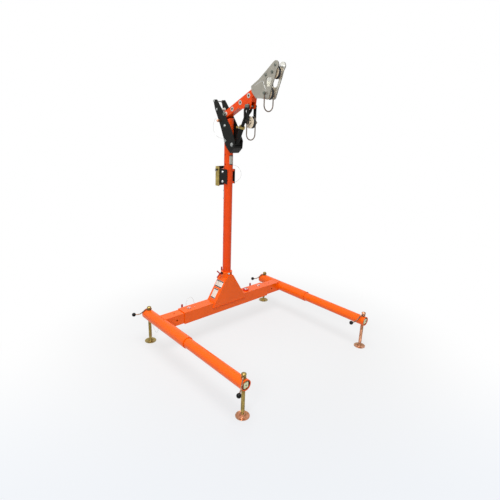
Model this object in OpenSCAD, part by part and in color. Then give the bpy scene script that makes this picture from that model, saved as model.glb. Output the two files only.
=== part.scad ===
// Portable confined space davit. A beam on two telescopic legs stands on four screw jacks
// and carries a socket. A two-piece mast turns in it, with a winch bracket, a luffing boom
// held by a telescopic strut, a head with two sheaves, and a pulley block under the boom.
// The mast axis is x = y = 0 in the working frame, the floor is z = 0, and the beam lies
// along X. The whole model is then moved so that its footprint is centred on the origin.

/* [Base beam] */
// Distance between the centre lines of the two legs
leg_spacing = 1327; // [1300:1:1400]
// Height of the beam and leg centre lines above the floor
tube_height = 240.8; // [225:0.1:260]
// Outside size of the square beam
beam_size = 101.6; // [96:0.1:110]
// Wall of the square beam
beam_wall = 4.8; // [4:0.1:5.5]
// Half the length of the beam
beam_half = 473; // [440:1:500]
// Outside size of the square arms that slide in the beam
arm_size = 88.9; // [84:0.1:89.5]
// Wall of the arms
arm_wall = 6.3; // [4:0.1:8]
// Distance from the mast axis to the cross holes that show on each arm
arm_hole_x = 541; // [520:1:560]

/* [Legs] */
// Outside diameter of the leg sleeve
sleeve_d = 88.9; // [86:0.1:92]
// Wall of the leg sleeve
sleeve_wall = 5.5; // [4:0.1:5.8]
// Closed rear end of the sleeve, behind the beam's centre line
sleeve_rear = 226; // [215:1:240]
// Open front end of the sleeve, ahead of the beam's centre line
sleeve_front = 381; // [340:1:420]
// Outside diameter of the leg extension
extension_d = 76.2; // [74:0.1:77]
// Wall of the leg extension
extension_wall = 6.3; // [4:0.1:7]
// Open front end of the extension, ahead of the beam's centre line
leg_front = 1019; // [1015:1:1100]

/* [Screw jacks] */
// Distance of the rear jacks behind the beam's centre line
rear_jack = 186; // [180:1:190]
// Distance of the front jacks ahead of the beam's centre line
front_jack = 994; // [960:1:996]
// Diameter of the jack screw
screw_d = 25.4; // [22:0.1:26]
// Diameter of the foot
foot_d = 93; // [80:1:110]
// Distance from the screw's axis to the centre of the crank knob
crank_reach = 124.5; // [120:0.5:135]
// Diameter of the ball knob
knob_d = 32; // [26:1:36]

/* [Mast] */
// Outside diameter of the mast
mast_d = 73; // [72:0.1:73.2]
// Inside diameter of the mast
mast_bore = 60; // [58:0.5:62]
// Top of the socket collar
socket_top = 536; // [530:1:560]
// Height of the joint between the lower and upper mast
mast_seam = 1147; // [1120:1:1170]
// Pitch of the cross holes down the mast
mast_hole_pitch = 76.2; // [70:0.1:80]

/* [Boom] */
// Outside size of the square boom
boom_size = 50.8; // [48:0.1:51]
// Wall of the boom
boom_wall = 4.8; // [3:0.1:6]
// Angle of the boom above the horizontal
boom_angle = 26; // [25:0.5:27]
// Length of the boom ahead of its pivot
boom_length = 440; // [430:1:441]
// Outside diameter of the bushings through the boom
bushing_d = 34; // [30:1:36]
// Bore of the bushings through the boom
bushing_bore = 16; // [12:0.5:18]

/* [Head and pulley block] */
// Diameter of the two head sheaves
head_sheave_d = 82; // [78:1:84]
// Diameter of the sheave in the hanging block
block_sheave_d = 86; // [80:1:88]
// Diameter of the rod of the two bails
bail_rod_d = 8.5; // [7:0.5:9]

/* [Hidden] */

$fn = 64;
e = 0.01;
// Half the length of the cutters that go right through along X
through = 60;

// Sides of the base, and the azimuth of each crank at rest
left = -1;
right = 1;
rear_crank_azimuth = 145;
left_front_azimuth = 216;
right_front_azimuth = 165;

leg_x = leg_spacing / 2;
beam_in = beam_size - 2 * beam_wall;
beam_top = tube_height + beam_size / 2;
sleeve_r = sleeve_d / 2;
sleeve_in_r = sleeve_r - sleeve_wall;
extension_r = extension_d / 2;
extension_in_r = extension_r - extension_wall;
extension_rear = 160;
arm_inner_end = 300;
arm_cope = 8;
arm_pin_x = 409;
arm_plunger_x = 394;
cross_hole_r = 8;
leg_pin_y = 150;

// Jack: ball of the foot, screw, cap and crank heights
screw_r = screw_d / 2;
screw_bore_r = screw_r + 0.05;
housing_r = 21;
ball_z = 13;
ball_r = 11;
screw_start_z = 31;
crank_z = 297;
crank_low_z = 247;
crank_rod_r = 4.25;
cap_z = 303;
cap_top_z = 318;
cap_r = 17;
neck_r = 11;

// Detent pins and plungers
pin_r = 4.8;
plunger_r = 5;
fit = 0.05;

// Socket
collar_r = 48;
collar_bore_r = mast_d / 2 + 0.5;
socket_plunger_z = 526;
gusset_t = 6;
gusset_in = beam_size / 2;

// Mast
mast_r = mast_d / 2;
mast_bore_r = mast_bore / 2;
mast_foot_z = beam_top + 0.5;
seam_gap = 0.6;
spigot_top = 1300;
mast_hole_r = 6.5;
lower_hole_azimuth = 170;
upper_hole_azimuth = 180;
lower_hole_z = 796;
upper_hole_z = 1456;
mast_top = 1812;

// Winch bracket, in y and z
winch_in = 38;
winch_t = 6;
winch_bolt_y = 18;
winch_bolt_z = [1319, 1397];
channel_t = 5;
channel_back = 107;
winch_hole_dx = 60;
winch_hole_dz = 110;
winch_hole_r = 5.5;
winch_pin_y = 90;
winch_pin_z = 1407;

// Mast head: side plates and the points in y and z that their bolts hold
plate_in = mast_r + 0.5;
plate_t = 7;
pivot = [10, 1841];
boom_bolt_r = 9;
strut_foot = [-90, 1615];
strut_bolt_r = 8;
roller_at = [102, 1876];
cross_rod_at = [139, 1938];
pull_pin_at = [68, 1790];
mast_bolt_at = [[-7, 1640], [0, 1755]];
mast_bolt_r = 5;
boom_sweep_r = 49;

// Boom, its bushings and the pivots under its end gussets
boom_r = boom_size / 2;
boom_tail = 36;
bushing_s = [82, 184.5, 287];
strut_top = [-230, 1897];
block_top = [-256, 1897];
end_pin_r = 7;

// Strut
strut_run = strut_top - strut_foot;
strut_length = norm(strut_run);
strut_angle = atan2(strut_run[1], -strut_run[0]);
strut_tube_r = 18.5;
strut_tube_in_r = 13.5;
strut_tube_end = 150;
strut_rod_r = 13;
strut_rod_start = 78;
fork_root = 222;
fork_crotch = 246;
fork_knee = 279;
fork_in = 26.2;
fork_t = 5.5;
fork_half = 11;
fork_slot = 3.2;
fork_slack = 1.1;
collar_s = 138;
collar_len = 18;

// Head
head_mouth = 350;
head_sleeve_len = 95;
head_end_wall = 3;
head_sleeve_in = boom_r + 0.2;
head_sleeve_out = 30.8;
head_plate_t = 5.5;
cheek_t = 2.5;
upper_sheave_at = [-486, 2107];
lower_sheave_at = [-431, 1977];
keeper_at = [-428, 2093];
tip_at = [-513, 2149];
tip_spacer_r = 8.5;
sheave_w = 30;
sheave_axle_r = 6;
rope_r = 6.5;

// Bails and pulley block
bail_r = bail_rod_d / 2;
head_bail_half = 43.6;
head_bail_bottom = 1854;
block_at = [-256, 1783];
strap_in = 32.2;
strap_t = 5;
block_bail_half = 42.4;
block_bail_bottom = 1653;

// Footprint, which sets the shift of the origin
knob_r = knob_d / 2;
foot_r = foot_d / 2;
x_min = -leg_x + crank_reach * min(cos(left_front_azimuth), cos(rear_crank_azimuth)) - knob_r;
x_max = leg_x + foot_r;
y_min = -front_jack + crank_reach * sin(left_front_azimuth) - knob_r;
y_max = rear_jack + crank_reach * sin(rear_crank_azimuth) + knob_r;
origin = [(x_min + x_max) / 2, (y_min + y_max) / 2, 0];

module placed() {
    translate(-origin) children();
}

// Straight rod of radius r between two points
module rod(p, q, r) {
    v = q - p;
    translate(p)
        rotate([0, acos(v[2] / norm(v)), atan2(v[1], v[0])])
            cylinder(h = norm(v), r = r);
}

// Rod along X, between x = a and x = b, at a point given in y and z
module cross(at, a, b, r, fn = 64) {
    translate([a, at[0], at[1]])
        rotate([0, 90, 0])
            cylinder(h = b - a, r = r, $fn = fn);
}

// Outline in y and z, extruded along X from x = a to x = b
module side_plate(a, b) {
    translate([a, 0, 0])
        rotate([90, 0, 90])
            linear_extrude(b - a)
                children();
}

// The same plate on both sides of x = 0
module both_plates(inner, thick) {
    side_plate(inner, inner + thick) children();
    side_plate(-inner - thick, -inner) children();
}

module disc(at, r) {
    translate(at) circle(r = r);
}

// Tube along Y
module tube_y(y0, y1, r) {
    translate([0, y1, 0])
        rotate([90, 0, 0])
            cylinder(h = y1 - y0, r = r);
}

// Base beam, socket and level
module base_beam() color("orangered") placed() translate([0, 0, tube_height]) {
    difference() {
        cube([2 * beam_half, beam_size, beam_size], center = true);
        cube([2 * beam_half + 1, beam_in, beam_in], center = true);
        for (side = [left, right]) {
            translate([side * arm_pin_x, 0, 0])
                cylinder(h = beam_size, r = pin_r + fit);
            translate([side * arm_plunger_x, beam_size, 0])
                rotate([90, 0, 0])
                    cylinder(h = beam_size, r = plunger_r + fit);
        }
    }
}

module socket_gussets() color("orangered") placed() {
    gusset_foot = [188, 252];
    shoulder = [31, 505];
    apex = [22, 510];
    for (y = [gusset_in + gusset_t, -gusset_in])
        translate([0, y, 0])
            rotate([90, 0, 0])
                linear_extrude(gusset_t)
                    polygon([gusset_foot, shoulder, apex, [-apex[0], apex[1]],
                        [-shoulder[0], shoulder[1]], [-gusset_foot[0], gusset_foot[1]]]);
    // Sloping plates that close the box between the two gussets
    slope_foot = 163;
    slope_head = [45, 487];
    difference() {
        for (side = [left, right])
            translate([0, gusset_in, 0])
                rotate([90, 0, 0])
                    linear_extrude(2 * gusset_in)
                        polygon([[side * slope_foot, beam_top], [side * slope_head[0], slope_head[1]],
                            [side * (slope_head[0] - 20), slope_head[1]],
                            [side * (slope_foot - gusset_t), beam_top]]);
        cylinder(h = socket_top, r = collar_r);
    }
}

module mast_socket() color("orangered") placed() {
    difference() {
        translate([0, 0, beam_top])
            cylinder(h = socket_top - beam_top, r = collar_r);
        cylinder(h = socket_top + 1, r = collar_bore_r);
        rod([0, 0, socket_plunger_z], [-2 * collar_r, 0, socket_plunger_z], plunger_r + fit);
        rod([0, 0, socket_plunger_z], [0, 2 * collar_r, socket_plunger_z], plunger_r + fit);
    }
}

module level() color("red") placed() translate([236, 0, beam_top]) {
    body_r = 28;
    body_h = 13;
    cup_r = 21;
    rotate_extrude()
        polygon([[0, 0], [body_r, 0], [body_r, body_h - 4], [body_r - 4, body_h],
            [cup_r, body_h], [cup_r, body_h - 5], [0, body_h - 5]]);
}

// Barrels that guide the spring plungers: two on the back of the beam, two on the collar
module plunger_housings() color([0.2, 0.2, 0.2]) placed() {
    barrel_r = 12;
    barrel_end = 78;
    socket_barrel_r = 9.5;
    socket_barrel_end = 62;
    difference() {
        union() {
            for (side = [left, right])
                rod([side * arm_plunger_x, beam_size / 2, tube_height],
                    [side * arm_plunger_x, barrel_end, tube_height], barrel_r);
            rod([-collar_r + 6, 0, socket_plunger_z],
                [-socket_barrel_end, 0, socket_plunger_z], socket_barrel_r);
            rod([0, collar_r - 6, socket_plunger_z],
                [0, socket_barrel_end, socket_plunger_z], socket_barrel_r);
        }
        translate([0, 0, beam_top + 10])
            cylinder(h = socket_top, r = collar_r);
        for (side = [left, right])
            rod([side * arm_plunger_x, 0, tube_height],
                [side * arm_plunger_x, 2 * barrel_end, tube_height], plunger_r + fit);
        rod([0, 0, socket_plunger_z], [-100, 0, socket_plunger_z], plunger_r + fit);
        rod([0, 0, socket_plunger_z], [0, 100, socket_plunger_z], plunger_r + fit);
    }
}

// Arms and leg sleeves
module arm(side) color("orangered") placed() translate([0, 0, tube_height]) {
    arm_in = arm_size - 2 * arm_wall;
    arm_len = leg_x - arm_cope - arm_inner_end;
    difference() {
        translate([side * (arm_inner_end + arm_len / 2), 0, 0])
            difference() {
                cube([arm_len, arm_size, arm_size], center = true);
                cube([arm_len + 1, arm_in, arm_in], center = true);
            }
        translate([side * leg_x, 0, 0])
            tube_y(-arm_size, arm_size, sleeve_r);
        translate([side * arm_hole_x, 0, -arm_size])
            cylinder(h = 2 * arm_size, r = cross_hole_r);
        translate([side * arm_hole_x, arm_size, 0])
            rotate([90, 0, 0])
                cylinder(h = 2 * arm_size, r = cross_hole_r);
        translate([side * arm_pin_x, 0, 0])
            cylinder(h = arm_size, r = pin_r + 1);
        translate([side * arm_plunger_x, arm_size, 0])
            rotate([90, 0, 0])
                cylinder(h = arm_size, r = plunger_r + 1);
    }
}

module left_arm() arm(left);
module right_arm() arm(right);

module leg(side) color("orangered") placed() translate([side * leg_x, 0, tube_height]) {
    cap_t = 5;
    difference() {
        union() {
            difference() {
                tube_y(-sleeve_front, sleeve_rear, sleeve_r);
                tube_y(-sleeve_front - 1, sleeve_rear - cap_t, sleeve_in_r);
            }
            intersection() {
                translate([0, rear_jack, -sleeve_r])
                    cylinder(h = sleeve_d, r = housing_r);
                tube_y(0, sleeve_rear, sleeve_in_r + e);
            }
        }
        translate([0, rear_jack, -sleeve_d])
            cylinder(h = 2 * sleeve_d, r = screw_bore_r);
        translate([0, leg_pin_y, -sleeve_d])
            cylinder(h = sleeve_d, r = pin_r + fit);
    }
}

module left_leg() leg(left);
module right_leg() leg(right);

module extension(side) color("orangered") placed() translate([side * leg_x, 0, tube_height]) {
    difference() {
        tube_y(-leg_front, extension_rear, extension_r);
        tube_y(-leg_front - 1, extension_rear + 1, extension_in_r);
        translate([0, -front_jack, -extension_d])
            cylinder(h = 2 * extension_d, r = screw_bore_r);
        translate([0, leg_pin_y, -extension_d])
            cylinder(h = extension_d, r = pin_r + 1);
    }
}

module left_extension() extension(left);
module right_extension() extension(right);

module front_housing(side) color("khaki") placed() translate([side * leg_x, -front_jack, tube_height]) {
    difference() {
        intersection() {
            translate([0, 0, -extension_r])
                cylinder(h = extension_d, r = housing_r);
            tube_y(-extension_d, extension_d, extension_in_r);
        }
        translate([0, 0, -extension_d])
            cylinder(h = 2 * extension_d, r = screw_bore_r);
    }
}

module left_front_housing() front_housing(left);
module right_front_housing() front_housing(right);

// Screw jacks. Each one has a screw with its ball and cap, a crank, a knob and a foot
module at_jack(side, y) {
    placed() translate([side * leg_x, y, 0]) children();
}

module jack_screw(azimuth) {
    difference() {
        union() {
            translate([0, 0, ball_z]) sphere(r = ball_r);
            translate([0, 0, ball_z]) cylinder(h = screw_start_z - ball_z + 1, r = 7);
            translate([0, 0, screw_start_z])
                cylinder(h = tube_height + sleeve_r + 2 - screw_start_z, r = screw_r);
            translate([0, 0, tube_height])
                cylinder(h = cap_z - tube_height + 1, r = neck_r);
            intersection() {
                translate([0, 0, cap_z]) cylinder(h = 2 * cap_r, r = cap_r);
                translate([0, 0, cap_top_z - 30]) sphere(r = 30);
            }
        }
        rotate([0, 0, azimuth])
            rod([-30, 0, crank_z], [30, 0, crank_z], crank_rod_r + 0.08);
    }
}

// The crank lies in a vertical plane: through the neck, down past the leg, out to the knob
module jack_crank(azimuth) {
    stub = [-20, 0, crank_z];
    elbow = [22, 0, crank_z];
    knee = [75, 0, crank_low_z];
    tip = [crank_reach - 6, 0, crank_low_z - 2];
    bend_r = crank_rod_r + 0.3;
    rotate([0, 0, azimuth]) {
        rod(stub, elbow, crank_rod_r);
        translate(elbow) sphere(r = bend_r);
        rod(elbow, knee, crank_rod_r);
        translate(knee) sphere(r = bend_r);
        rod(knee, tip, crank_rod_r);
        rod(stub, stub + [3, 0, 0], crank_rod_r + 2);
    }
}

module jack_knob(azimuth) {
    rotate([0, 0, azimuth])
        difference() {
            translate([crank_reach, 0, crank_low_z - 2]) sphere(r = knob_r);
            rod([75, 0, crank_low_z], [crank_reach - 6, 0, crank_low_z - 2], crank_rod_r);
        }
}

module jack_foot() {
    boss_r = 17;
    boss_h = 20;
    difference() {
        rotate_extrude()
            polygon([[0, 0], [foot_r, 0], [foot_r, 5.5], [foot_r - 2.5, 5.5], [foot_r - 6, 3],
                [boss_r + 3, 4], [boss_r, boss_h], [0, boss_h]]);
        translate([0, 0, ball_z]) sphere(r = ball_r + 0.3);
    }
}

module left_rear_screw() color("khaki") at_jack(left, rear_jack) jack_screw(rear_crank_azimuth);
module left_rear_crank() color("silver") at_jack(left, rear_jack) jack_crank(rear_crank_azimuth);
module left_rear_knob() color("black") at_jack(left, rear_jack) jack_knob(rear_crank_azimuth);
module left_rear_foot() color("gold") at_jack(left, rear_jack) jack_foot();
module right_rear_screw() color("khaki") at_jack(right, rear_jack) jack_screw(rear_crank_azimuth);
module right_rear_crank() color("silver") at_jack(right, rear_jack) jack_crank(rear_crank_azimuth);
module right_rear_knob() color("black") at_jack(right, rear_jack) jack_knob(rear_crank_azimuth);
module right_rear_foot() color("gold") at_jack(right, rear_jack) jack_foot();
module left_front_screw() color("khaki") at_jack(left, -front_jack) jack_screw(left_front_azimuth);
module left_front_crank() color("silver") at_jack(left, -front_jack) jack_crank(left_front_azimuth);
module left_front_knob() color("black") at_jack(left, -front_jack) jack_knob(left_front_azimuth);
module left_front_foot() color("peru") at_jack(left, -front_jack) jack_foot();
module right_front_screw() color("khaki") at_jack(right, -front_jack) jack_screw(right_front_azimuth);
module right_front_crank() color("silver") at_jack(right, -front_jack) jack_crank(right_front_azimuth);
module right_front_knob() color("black") at_jack(right, -front_jack) jack_knob(right_front_azimuth);
module right_front_foot() color("peru") at_jack(right, -front_jack) jack_foot();

// Ring pin: a shank that points down from z = 0 by depth, a head above and a ring through it
module ring_pin(depth, lean) {
    head_r = 7;
    head_h = 9;
    ring_r = 13.5;
    wire_r = 1.6;
    eye_z = 5.5;
    difference() {
        union() {
            translate([0, 0, -depth]) cylinder(h = depth + 1, r = pin_r);
            cylinder(h = head_h, r = head_r);
        }
        translate([0, 0, eye_z])
            rotate([90, 0, 0])
                cylinder(h = 4 * head_r, r = wire_r + 1, center = true);
    }
    translate([0, 0, eye_z])
        rotate([0, lean, 0])
            translate([ring_r, 0, 0])
                rotate_extrude()
                    translate([ring_r, 0]) circle(r = wire_r);
}

module left_arm_pin() color("silver") placed()
    translate([-arm_pin_x, 0, beam_top]) ring_pin(beam_wall + 0.8, 0);
module right_arm_pin() color("silver") placed()
    translate([arm_pin_x, 0, beam_top]) rotate([0, 0, 180]) ring_pin(beam_wall + 0.8, 0);

module leg_pin(side) color("silver") placed()
    translate([side * leg_x, leg_pin_y, tube_height - sleeve_r - 0.3])
        rotate([180, 0, -30]) ring_pin(sleeve_wall + 0.3, -40);

module left_leg_pin() leg_pin(left);
module right_leg_pin() leg_pin(right);

// Spring plungers with their pull handles
module arm_plunger(side) color([0.5, 0.05, 0.05]) placed()
    translate([side * arm_plunger_x, 0, tube_height]) {
        handle_y = 113;
        handle_half = 37;
        handle_r = 8;
        rod([0, beam_in / 2 - 0.5, 0], [0, handle_y, 0], plunger_r);
        rod([0, handle_y, -handle_half], [0, handle_y, handle_half], handle_r);
        for (z = [-handle_half, handle_half])
            translate([0, handle_y, z]) sphere(r = handle_r);
    }

module left_arm_plunger() arm_plunger(left);
module right_arm_plunger() arm_plunger(right);

module side_socket_plunger() color([0.5, 0.05, 0.05]) placed() translate([0, 0, socket_plunger_z]) {
    apex_x = -74;
    tip = [-103, 27];
    bar_r = 5.5;
    rod([-collar_bore_r - 0.6, 0, 0], [apex_x, 0, 0], plunger_r);
    translate([apex_x, 0, 0]) sphere(r = bar_r + 2);
    for (z = [-tip[1], tip[1]]) {
        rod([apex_x, 0, 0], [tip[0], 0, z], bar_r);
        translate([tip[0], 0, z]) sphere(r = bar_r + 0.5);
    }
}

module rear_socket_plunger() color([0.5, 0.05, 0.05]) placed() translate([0, 0, socket_plunger_z]) {
    handle_y = 72;
    handle_half = 22;
    handle_r = 6.5;
    rod([0, collar_bore_r + 0.6, 0], [0, handle_y, 0], plunger_r);
    rod([0, handle_y, -handle_half], [0, handle_y, handle_half], handle_r);
    for (z = [-handle_half, handle_half])
        translate([0, handle_y, z]) sphere(r = handle_r);
}

// Mast
module mast_cross_hole(z, azimuth) {
    translate([0, 0, z])
        rotate([0, 0, azimuth])
            rod([-2 * mast_r, 0, 0], [2 * mast_r, 0, 0], mast_hole_r);
}

module lower_mast() color("orangered") placed() {
    spigot_r = mast_bore_r - 0.35;
    spigot_wall = 4.5;
    difference() {
        union() {
            difference() {
                translate([0, 0, mast_foot_z])
                    cylinder(h = mast_seam - mast_foot_z, r = mast_r);
                cylinder(h = 2 * mast_seam, r = mast_bore_r);
            }
            translate([0, 0, mast_seam - 90])
                cylinder(h = 89, r = mast_bore_r + e);
            translate([0, 0, mast_seam - 10])
                cylinder(h = spigot_top - mast_seam + 10, r = spigot_r);
        }
        cylinder(h = 2 * mast_seam, r = spigot_r - spigot_wall);
        for (k = [0:3])
            mast_cross_hole(lower_hole_z + k * mast_hole_pitch, lower_hole_azimuth);
    }
}

module upper_mast() color("orangered") placed() {
    saddle_half = winch_in;
    front_hole_azimuth = 262;
    difference() {
        union() {
            translate([0, 0, mast_seam + seam_gap])
                cylinder(h = mast_top - mast_seam - seam_gap, r = mast_r);
            // Saddle blocks that seat the winch bracket on the round tube
            for (z = [1304, 1403])
                translate([-saddle_half, -30, z])
                    cube([2 * saddle_half, 86, 16]);
        }
        cylinder(h = 2 * mast_top, r = mast_bore_r);
        for (k = [0:1])
            mast_cross_hole(upper_hole_z + k * mast_hole_pitch, upper_hole_azimuth);
        translate([0, 0, mast_seam + 12])
            rotate([0, 0, front_hole_azimuth])
                rod([0, 0, 0], [2 * mast_r, 0, 0], 3);
        cross(pivot, -mast_d, mast_d, boom_sweep_r);
        for (at = mast_bolt_at)
            cross(at, -mast_d, mast_d, mast_bolt_r + 0.2);
        for (z = winch_bolt_z)
            cross([winch_bolt_y, z], -mast_d, mast_d, mast_bolt_r + 0.2);
    }
}

// Mast head: two leaning side plates, joined at their foot by a bent web
module mast_head_plates() color([0.15, 0.15, 0.15]) placed() {
    foot_corner = [-116, 1590];
    foot_tip = [-72, 1550];
    web_rise = 14;
    difference() {
        both_plates(plate_in, plate_t)
            union() {
                polygon([foot_tip, [-40, 1576], [-8, 1608], [19, 1672], [56, 1751], [92, 1818],
                    [128, 1880], [147, 1940], [139, 1949], [108, 1949], [74, 1911], [36, 1866],
                    [3, 1833], [-47, 1767], [-91, 1702], [-121, 1645], foot_corner]);
                disc(cross_rod_at, 11);
            }
        cross(pivot, -through, through, boom_bolt_r + fit);
        cross(strut_foot, -through, through, strut_bolt_r + fit);
        cross(roller_at, -through, through, mast_bolt_r + fit);
        cross(cross_rod_at, -through, through, mast_bolt_r + fit);
        cross(pull_pin_at, -through, through, plunger_r + fit);
        for (at = mast_bolt_at)
            cross(at, -through, through, mast_bolt_r + fit);
    }
    side_plate(-plate_in, plate_in)
        polygon([foot_tip, foot_tip + [0, 7], foot_corner + [5, 3], foot_corner + [3, web_rise],
            foot_corner + [-1, web_rise], foot_corner]);
}

// Hex bolt along X through both plates, with a head on the near side and a nut on the far one
module hex_bolt(at, half, r, head_r, head_t) {
    cross(at, -half, half, r);
    cross(at, -half - head_t, -half, head_r, 6);
    cross(at, half, half + head_t, head_r, 6);
}

module mast_bolts() color("silver") placed() {
    outer = plate_in + plate_t;
    hex_bolt(pivot, outer, boom_bolt_r, 15, 8);
    hex_bolt(strut_foot, outer, strut_bolt_r, 13, 7);
    hex_bolt(roller_at, outer, mast_bolt_r, 9, 5);
    hex_bolt(cross_rod_at, outer, mast_bolt_r, 9, 5);
    for (at = mast_bolt_at)
        hex_bolt(at, outer, mast_bolt_r, 10, 6);
    for (z = winch_bolt_z)
        hex_bolt([winch_bolt_y, z], winch_in + winch_t, mast_bolt_r, 9, 6);
}

module mast_head_roller() color("gainsboro") placed() {
    roller_half = 34;
    difference() {
        union() {
            cross(roller_at, -roller_half, roller_half, 11);
            for (x = [-roller_half, roller_half - 6])
                cross(roller_at, x, x + 6, 15);
        }
        cross(roller_at, -through, through, mast_bolt_r + fit);
    }
}

module mast_pull_pin() color([0.5, 0.12, 0.05]) placed() {
    outer = plate_in + plate_t;
    cross(pull_pin_at, -outer - 4, outer + 4, plunger_r);
    cross(pull_pin_at, -outer - 16, -outer - 1, 10);
    translate([-outer - 16, pull_pin_at[0], pull_pin_at[1]]) sphere(r = 10);
}

// Winch bracket: two side plates on the mast and a channel that takes the winch
module winch_plates() color([0.15, 0.15, 0.15]) placed() {
    difference() {
        both_plates(winch_in, winch_t)
            polygon([[-33, 1303], [58, 1303], [64, 1283], [98, 1283], [98, 1428], [64, 1428],
                [58, 1420], [-33, 1420]]);
        for (z = winch_bolt_z)
            cross([winch_bolt_y, z], -through, through, mast_bolt_r + fit);
        cross([winch_pin_y, winch_pin_z], -through, through, plunger_r + fit);
    }
}

module winch_mount() color("darkkhaki") placed() {
    inner = winch_in + winch_t + 0.1;
    outer = inner + channel_t;
    z0 = 1276;
    z1 = 1435;
    difference() {
        translate([-outer, 60, z0]) cube([2 * outer, channel_back - 60, z1 - z0]);
        translate([-inner, 0, z0 - 1])
            cube([2 * inner, channel_back - channel_t, z1 - z0 + 2]);
        for (x = [-winch_hole_dx / 2, winch_hole_dx / 2])
            for (z = [-winch_hole_dz / 2, winch_hole_dz / 2])
                translate([x, 0, (z0 + z1) / 2 + z])
                    rod([0, 60, 0], [0, 150, 0], winch_hole_r);
        cross([winch_pin_y, winch_pin_z], -through, through, plunger_r + fit);
    }
}

module winch_pin() color([0.3, 0.3, 0.3]) placed() {
    at = [winch_pin_y, winch_pin_z];
    cross(at, -52, 56, plunger_r);
    cross(at, -62, -50, 9);
}

// Boom frame: X runs along the boom from its pivot, Y along the pivot bolt
module on_boom() {
    placed() translate([0, pivot[0], pivot[1]])
        rotate([-boom_angle, 0, 0])
            rotate([0, 0, -90])
                children();
}

module boom() color("orangered") {
    gusset_low = 1878;
    gusset_half = boom_r - 0.4;
    cheek_in = boom_r - boom_wall - 0.2;
    difference() {
        union() {
            on_boom() translate([-boom_tail, -boom_r, -boom_r])
                cube([boom_tail + boom_length, boom_size, boom_size]);
            placed() side_plate(-gusset_half, gusset_half)
                polygon([[-142, 1886], [-150, gusset_low], [-265, gusset_low], [-274, 1886],
                    [-284, 1962], [-284, 1978], [-142, 1910]]);
        }
        on_boom() translate([-boom_tail - 1, -boom_r + boom_wall, -boom_r + boom_wall])
            cube([boom_tail + boom_length + 2, boom_size - 2 * boom_wall, boom_size - 2 * boom_wall]);
        // The end gusset is open below, between its two cheeks
        placed() side_plate(-cheek_in, cheek_in)
            polygon([[-140, 1850], [-279, 1850], [-279, 1952], [-140, 1884]]);
        on_boom() for (s = concat([0], bushing_s))
            translate([s, boom_size, 0])
                rotate([90, 0, 0])
                    cylinder(h = 2 * boom_size, r = bushing_d / 2);
        placed() cross(strut_top, -through, through, end_pin_r + fit);
        placed() cross(block_top, -through, through, end_pin_r + fit);
    }
}

module boom_bushings() color("gainsboro") on_boom() {
    lip = 1.6;
    for (s = bushing_s)
        translate([s, boom_r + lip, 0])
            rotate([90, 0, 0])
                difference() {
                    cylinder(h = boom_size + 2 * lip, r = bushing_d / 2);
                    translate([0, 0, -1])
                        cylinder(h = 2 * boom_size, r = bushing_bore / 2);
                }
    translate([0, plate_in - 0.5, 0])
        rotate([90, 0, 0])
            difference() {
                cylinder(h = 2 * plate_in - 1, r = bushing_d / 2);
                translate([0, 0, -1])
                    cylinder(h = 3 * plate_in, r = boom_bolt_r + fit);
            }
}

// Strut frame: X runs up the strut from its foot bolt
module on_strut() {
    placed() translate([0, strut_foot[0], strut_foot[1]])
        rotate([-strut_angle, 0, 0])
            rotate([0, 0, -90])
                children();
}

module strut_tube() color([0.12, 0.12, 0.12]) on_strut() {
    boss_r = 17;
    boss_half = plate_in - 1;
    difference() {
        union() {
            rod([0, -boss_half, 0], [0, boss_half, 0], boss_r);
            rod([0, 0, 0], [strut_tube_end, 0, 0], strut_tube_r);
        }
        rod([0, -through, 0], [0, through, 0], strut_bolt_r + fit);
        rod([20, 0, 0], [2 * strut_tube_end, 0, 0], strut_tube_in_r);
        rod([collar_s + collar_len / 2, -through, 0], [collar_s + collar_len / 2, 0, 0], 4 + fit);
    }
}

module strut_collar() color([0.45, 0.4, 0.25]) on_strut() {
    difference() {
        rod([collar_s, 0, 0], [collar_s + collar_len, 0, 0], strut_tube_r + 5);
        rod([collar_s - 1, 0, 0], [strut_tube_end, 0, 0], strut_tube_r);
        rod([collar_s, 0, 0], [collar_s + 30, 0, 0], strut_rod_r + 0.6);
        rod([collar_s + collar_len / 2, -through, 0], [collar_s + collar_len / 2, 0, 0], 4 + fit);
    }
}

module strut_pin() color("silver") on_strut() {
    s = collar_s + collar_len / 2;
    rod([s, -42, 0], [s, -strut_rod_r - 0.9, 0], 4);
    rod([s, -52, 0], [s, -40, 0], 8);
}

module strut_rod() color([0.12, 0.12, 0.12]) on_strut() {
    fork_out = fork_in + fork_t;
    difference() {
        union() {
            difference() {
                rod([strut_rod_start, 0, 0], [fork_crotch, 0, 0], strut_rod_r);
                rod([strut_rod_start - 1, 0, 0], [fork_root, 0, 0], strut_rod_r - 4);
            }
            // Two arms that spread from the rod to the sides of the boom's gusset
            translate([0, 0, -fork_half])
                linear_extrude(2 * fork_half)
                    polygon([[fork_root, -8], [fork_knee, -fork_out], [strut_length, -fork_out],
                        [strut_length, -fork_in], [fork_knee + 1, -fork_in], [fork_crotch, -3],
                        [fork_crotch, 3], [fork_knee + 1, fork_in], [strut_length, fork_in],
                        [strut_length, fork_out], [fork_knee, fork_out], [fork_root, 8]]);
            for (y = [-fork_out, fork_in])
                rod([strut_length, y, 0], [strut_length, y + fork_t, 0], fork_half);
        }
        // Slot that gives the open pivot its clearance along the strut
        for (s = [0, fork_slot])
            rod([strut_length - s, -through, 0], [strut_length - s, through, 0], end_pin_r + fork_slack);
        translate([strut_length - fork_slot, -through, -end_pin_r - fork_slack])
            cube([fork_slot, 2 * through, 2 * (end_pin_r + fork_slack)]);
    }
}

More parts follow.
